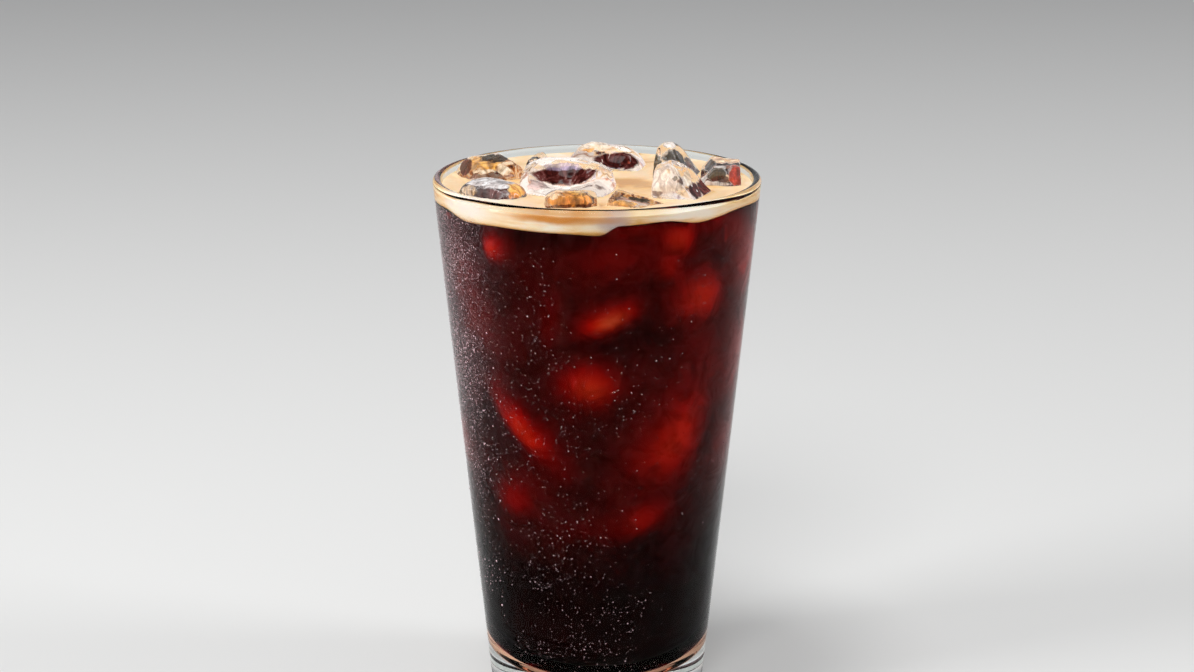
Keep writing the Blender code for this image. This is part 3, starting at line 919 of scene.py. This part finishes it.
def pocket_cutters(name, grown):
    """The solids of the ice with their faces moved out by grown, to cut from the drink."""
    group = bpy.data.collections.new(name + "_pockets")
    for node in ICE:
        mesh = NODES[node].data.copy()
        bm = bmesh.new()
        bm.from_mesh(mesh)
        bmesh.ops.remove_doubles(bm, verts=bm.verts[:], dist=WELD)
        bm.normal_update()
        bm.to_mesh(mesh)
        bm.free()
        moved_along_normals(mesh, lambda place: grown)
        mesh.materials.clear()
        group.objects.link(bpy.data.objects.new(node + "_" + name, mesh))
    return group


def with_pockets(mesh, group):
    """The mesh with the group's solids cut from it."""
    body = link(mesh.name + "_uncut", mesh)
    cut = body.modifiers.new("Pockets", "BOOLEAN")
    cut.operation = "DIFFERENCE"
    cut.solver = "EXACT"
    cut.operand_type = "COLLECTION"
    cut.collection = group
    return evaluated(body)


def level_radii(edge_radius, count):
    """Radii from the wall to the axis, close together near the wall."""
    return [edge_radius * (1 - (i / count) ** 1.3) for i in range(count + 1)]


def wall_line(low, high, count):
    """(r, z) points up the glass's inner wall, reaching just into it, both ends included."""
    heights = [low + (high - low) * i / count for i in range(count + 1)]
    return [(inner_radius(z) + INTO_WALL, z) for z in heights]


def at(azimuth, radius):
    """x and y of a place at an azimuth."""
    angle = math.radians(azimuth)
    return radius * math.sin(angle), -radius * math.cos(angle)


def coffee_profile(azimuth):
    inside = cavity(-INTO_WALL)
    edge = foam_edge(azimuth) + INTO_FOAM
    wall = wall_line(inside[-1][1], edge, 36)
    top = [(r, foam_floor(*at(azimuth, r)) + INTO_FOAM) for r in level_radii(wall[-1][0], 24)]
    return inside + wall[1:] + top[1:]


def foam_top(x, y):
    """Height of the foam's upper face, which swells a little and climbs at the wall."""
    place = Vector((x, y, 0.0))
    swell = noise.fractal(place * 90, 0.9, 2.1, 3)
    outward = min(1.0, math.hypot(x, y) / inner_radius(FOAM_LEVEL))
    return FOAM_LEVEL + FOAM_SWELL * swell * (1 - outward**4) + CLIMB_AT_WALL * outward**12


def foam_profile_near(tree):
    """The foam's outline at an azimuth. Its upper face climbs a little where it wets the ice."""

    def wetted(x, y):
        z = foam_top(x, y)
        near = tree.find_nearest(Vector((x, y, z)))[3]
        return z + CLIMB_AT_ICE * math.exp(-near / CLIMB_AT_ICE)

    def profile(azimuth):
        edge = foam_edge(azimuth)
        wall = wall_line(edge, foam_top(*at(azimuth, inner_radius(FOAM_LEVEL))), 8)
        below = [(r, foam_floor(*at(azimuth, r))) for r in level_radii(wall[0][0], 24)]
        above = [(r, wetted(*at(azimuth, r))) for r in level_radii(wall[-1][0], 64)]
        return below[::-1] + wall[1:] + above[1:]

    return profile


def ice_tree():
    """All solids of the ice, to find how near a place is to them."""
    points, faces = [], []
    for node in ICE:
        mesh = NODES[node].data
        start = len(points)
        points += [v.co.copy() for v in mesh.vertices]
        faces += [[start + i for i in p.vertices] for p in mesh.polygons]
    return BVHTree.FromPolygons(points, faces)


def mark_edge(mesh):
    """Keeps in above_edge how far each point is from the foam's lower edge at the wall, up and inward."""
    mark = mesh.attributes.new("above_edge", "FLOAT", "POINT")
    for vertex, value in zip(mesh.vertices, mark.data):
        x, y, z = vertex.co
        inward = inner_radius(z) - math.hypot(x, y)
        value.value = z - foam_edge(math.degrees(math.atan2(x, -y))) + max(0.0, inward)


def make_drink():
    shells = (
        ("cold_brew", "coffee", coffee_profile, coffee_look(), -INTO_ICE),
        ("crema", "foam", foam_profile_near(ice_tree()), foam_look(), ROUND_ICE),
    )
    for name, node, profile, material, grown in shells:
        mesh = with_pockets(round_shell(name, profile, DRINK_STEPS), pocket_cutters(name, grown))
        if node == "foam":
            mark_edge(mesh)
        mesh.materials.clear()
        mesh.materials.append(material)
        mesh.shade_smooth()
        mesh.set_sharp_from_angle(angle=math.radians(50))
        piece = link(name, mesh)
        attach(piece, "root")
        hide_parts(node)


def heap_inset(azimuth, z):
    """How far the heap of sunk ice keeps from the glass: little where a piece leans on it, more in the gaps."""
    low = min(1.0, max(0.0, (z - HEAP_FOOT) / HEAP_FOOT_RISE))
    base = HEAP_FOOT_INSET + (HEAP_INSET - HEAP_FOOT_INSET) * low * low * (3 - 2 * low)
    radius = inner_radius(z)
    x, y = at(azimuth, radius)
    base += HEAP_WAVES * noise.fractal(Vector((x, y, z)) * 60, 0.8, 2.0, 2)
    total = 0.0
    for ice in SUNK:
        turn = (azimuth - ice.azimuth + 180.0) % 360.0 - 180.0
        across = math.radians(turn) * radius
        up = z - ice.height * MM
        if max(abs(across), abs(up)) > HEAP_REACH:
            continue
        roll = math.radians(ice.roll)
        along = across * math.cos(roll) + up * math.sin(roll)
        aside = up * math.cos(roll) - across * math.sin(roll)
        along /= ice.width / 2 * HEAP_SPREAD * MM
        aside /= ice.length / 2 * HEAP_SPREAD * MM
        near = math.exp(-(math.hypot(along, aside) ** 2.6))
        total += (max(0.0, base - ice.depth * MM) * near) ** 4
    return max(HEAP_LEAST_INSET, base - total**0.25)


def heap_profile(azimuth):
    inside = cavity(HEAP_FOOT_INSET)
    low = inside[-1][1]
    high = foam_floor(*at(azimuth, inner_radius(FOAM_LEVEL) - 2 * MM)) - HEAP_UNDER_FOAM
    wall = []
    for i in range(1, HEAP_ROWS + 1):
        z = low + (high - low) * i / HEAP_ROWS
        wall.append((inner_radius(z) - heap_inset(azimuth, z), z))
    top = []
    for r in level_radii(wall[-1][0], 12):
        top.append((r, min(high, foam_floor(*at(azimuth, r)) - HEAP_UNDER_FOAM)))
    return inside + wall + top[1:]


def make_sunk_ice():
    """The heap of melted ice under the foam. Its pieces come near the glass and show as red glows."""
    mesh = round_shell("sunk_ice", heap_profile, HEAP_STEPS)
    mesh.materials.append(sunk_ice_look())
    piece = link("sunk_ice", mesh)
    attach(piece, "root")


# Condensation


def drop_places(count, seed, density):
    """Places (azimuth, height in mm) where seeded random tries pass density, and their generator."""
    draw = np.random.RandomState(seed)
    found = []
    total = 0
    while total < count:
        azimuth = draw.uniform(-180.0, 180.0, DROP_TRIES)
        height = draw.uniform(*DROP_SPAN, DROP_TRIES)
        kept = draw.uniform(0.0, 1.0, DROP_TRIES) < density(azimuth, height)
        found.append(np.stack([azimuth[kept], height[kept]], 1))
        total += int(kept.sum())
    places = np.concatenate(found)[:count]
    return places, draw


def clusters(azimuth, height, seed):
    """Smooth patches from 0 to 1 over the glass."""
    draw = np.random.RandomState(seed)
    total = np.zeros_like(azimuth)
    for _ in range(CLUSTER_WAVES):
        turns = draw.randint(1, 9)
        rise = draw.uniform(-0.22, 0.22)
        phase = draw.uniform(0, 2 * np.pi)
        total += np.sin(np.radians(azimuth) * turns + height * rise + phase)
    return 1 / (1 + np.exp(-1.2 * total))


def make_drops(name, places, radii, rings):
    """Drops of water on the glass: low closed domes that reach just into it. rings are shares of the radius and
    of the height, from the foot up."""
    azimuth = np.radians(places[:, 0])
    z = places[:, 1] * MM
    wall = np.array([outer_radius(v) for v in z])
    out = np.stack([np.sin(azimuth), -np.cos(azimuth), np.full_like(azimuth, -WALL_LEAN)], 1)
    out /= np.linalg.norm(out, axis=1)[:, None]
    side = np.stack([np.cos(azimuth), np.sin(azimuth), np.zeros_like(azimuth)], 1)
    rise = np.cross(out, side)
    middle = np.stack([wall * np.sin(azimuth), -wall * np.cos(azimuth), z], 1) - out * DROP_SINK
    columns = []
    for share, lift in rings:
        turned = 0.5 if share < 1 else 0.0
        for k in range(DROP_SIDES):
            angle = 2 * np.pi * (k + turned) / DROP_SIDES
            around = side * np.cos(angle) + rise * np.sin(angle)
            raised = out * (radii * lift * DROP_HEIGHT)[:, None]
            columns.append(middle + around * (radii * share)[:, None] + raised)
    columns.append(middle + out * (radii * DROP_HEIGHT)[:, None])
    points = np.stack(columns, 1).reshape(-1, 3)
    n = DROP_SIDES
    tip = len(rings) * n
    last = tip - n
    drop = [list(range(n))[::-1]]
    for low in range(0, last, n):
        high = low + n
        drop += [[low + k, low + (k + 1) % n, high + k] for k in range(n)]
        drop += [[low + (k + 1) % n, high + (k + 1) % n, high + k] for k in range(n)]
    drop += [[last + k, last + (k + 1) % n, tip] for k in range(n)]
    faces = [[i * (tip + 1) + j for j in face] for i in range(len(radii)) for face in drop]
    mesh = mesh_of(name, points, faces)
    mesh.materials.append(water_look())
    piece = link(name, mesh)
    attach(piece, "root")


def ease(low, high, value):
    """A smooth step from 0 at low to 1 at high, for arrays."""
    share = np.clip((value - low) / (high - low), 0.0, 1.0)
    return share * share * (3 - 2 * share)


def mist_density(azimuth, height):
    """Thick on the left side, thinning toward the front and the back, and toward the foot."""
    side = ease(-40.0, -72.0, azimuth) * ease(-160.0, -115.0, azimuth)
    tall = (0.12 + 0.88 * ease(48.0, 118.0, height)) * ease(25.0, 45.0, height) * ease(144.5, 142.5, height)
    return side * tall * (0.62 + 0.38 * clusters(azimuth, height, 3))


def speck_density(azimuth, height):
    """Thin everywhere, in drifts, and nearly none low on the right."""
    low_right = ease(10.0, 30.0, azimuth) * ease(120.0, 95.0, azimuth) * ease(85.0, 50.0, height)
    tall = ease(10.0, 22.0, height) * ease(140.0, 134.0, height)
    return tall * (1 - 0.95 * low_right) * (0.12 + 0.88 * clusters(azimuth, height, 8) ** 2)


def make_condensation():
    """Three kinds of drops: count, seed, density, middle and spread of the radii in mm, and shape."""
    kinds = (
        ("condensation_fine", 18000, 21, mist_density, 0.10, 0.22, BEAD),
        ("condensation_mist", 8000, 22, mist_density, 0.16, 0.32, DOME),
        ("condensation_specks", 5200, 23, speck_density, 0.105, 0.30, DOME),
    )
    for name, count, seed, density, middle, spread, rings in kinds:
        places, draw = drop_places(count, seed, density)
        radii = np.minimum(draw.lognormal(math.log(middle), spread, count), LARGEST_DROP) * MM
        make_drops(name, places, radii, rings)


# Stage


def make_lamps():
    for lamp in LAMPS:
        light = bpy.data.lights.new(lamp.name, "AREA")
        light.shape = "RECTANGLE"
        light.size, light.size_y = lamp.size
        light.energy = lamp.power
        piece = link(lamp.name, light)
        piece.location = lamp.place
        aim = Vector(lamp.aim) - Vector(lamp.place)
        piece.rotation_euler = aim.to_track_quat("-Z", "Y").to_euler()
        piece.visible_transmission = False


def make_floor():
    bpy.ops.mesh.primitive_plane_add(size=8.0, location=(0.0, 1.0, 0.0))
    floor = bpy.context.object
    floor.name = "floor"
    look = Look("pale_floor")
    shader = principled(look, Base_Color=(*FLOOR_TONE, 1.0), Roughness=0.8, Specular_IOR_Level=0.1)
    look.join(shader.outputs[0], look.out.inputs["Surface"])
    floor.data.materials.append(look.material)


def make_world():
    """Soft studio light from all round, brighter near the horizon."""
    world = bpy.data.worlds.new("studio")
    bpy.context.scene.world = world
    world.use_nodes = True
    tree = world.node_tree
    back = tree.nodes["Background"]
    back.inputs["Strength"].default_value = 1.0
    where = tree.nodes.new("ShaderNodeTexCoord")
    axes = tree.nodes.new("ShaderNodeSeparateXYZ")
    tone = tree.nodes.new("ShaderNodeValToRGB")
    for element, (place, colour) in zip(tone.color_ramp.elements, (SKY_LOW, SKY_HIGH)):
        element.position = place
        element.color = (*colour, 1.0)
    tree.links.new(where.outputs["Generated"], axes.inputs[0])
    tree.links.new(axes.outputs["Z"], tone.inputs["Fac"])
    tree.links.new(tone.outputs["Color"], back.inputs["Color"])


def make_camera():
    lens = bpy.data.cameras.new("camera")
    lens.sensor_width = SENSOR
    lens.lens = FOCAL_PIXELS / PHOTO_WIDTH * SENSOR
    lens.clip_start = 0.01
    camera = link("camera", lens)
    camera.location = (0.0, -CAMERA_DISTANCE, CAMERA_HEIGHT)
    camera.rotation_euler = (math.radians(90 - CAMERA_PITCH), 0.0, 0.0)
    bpy.context.scene.camera = camera


def set_up_render():
    cycles = bpy.context.scene.cycles
    cycles.use_denoising = True
    cycles.denoising_prefilter = "NONE"
    cycles.sample_clamp_direct = 4.0
    cycles.sample_clamp_indirect = 1.3
    cycles.transparent_max_bounces = 24
    cycles.transmission_bounces = 16
    cycles.max_bounces = 16
    bpy.context.scene.view_settings.view_transform = "Standard"


def main():
    make_glass()
    make_ice()
    make_drink()
    make_sunk_ice()
    make_condensation()
    make_floor()
    make_world()
    make_camera()
    make_lamps()
    set_up_render()


main()
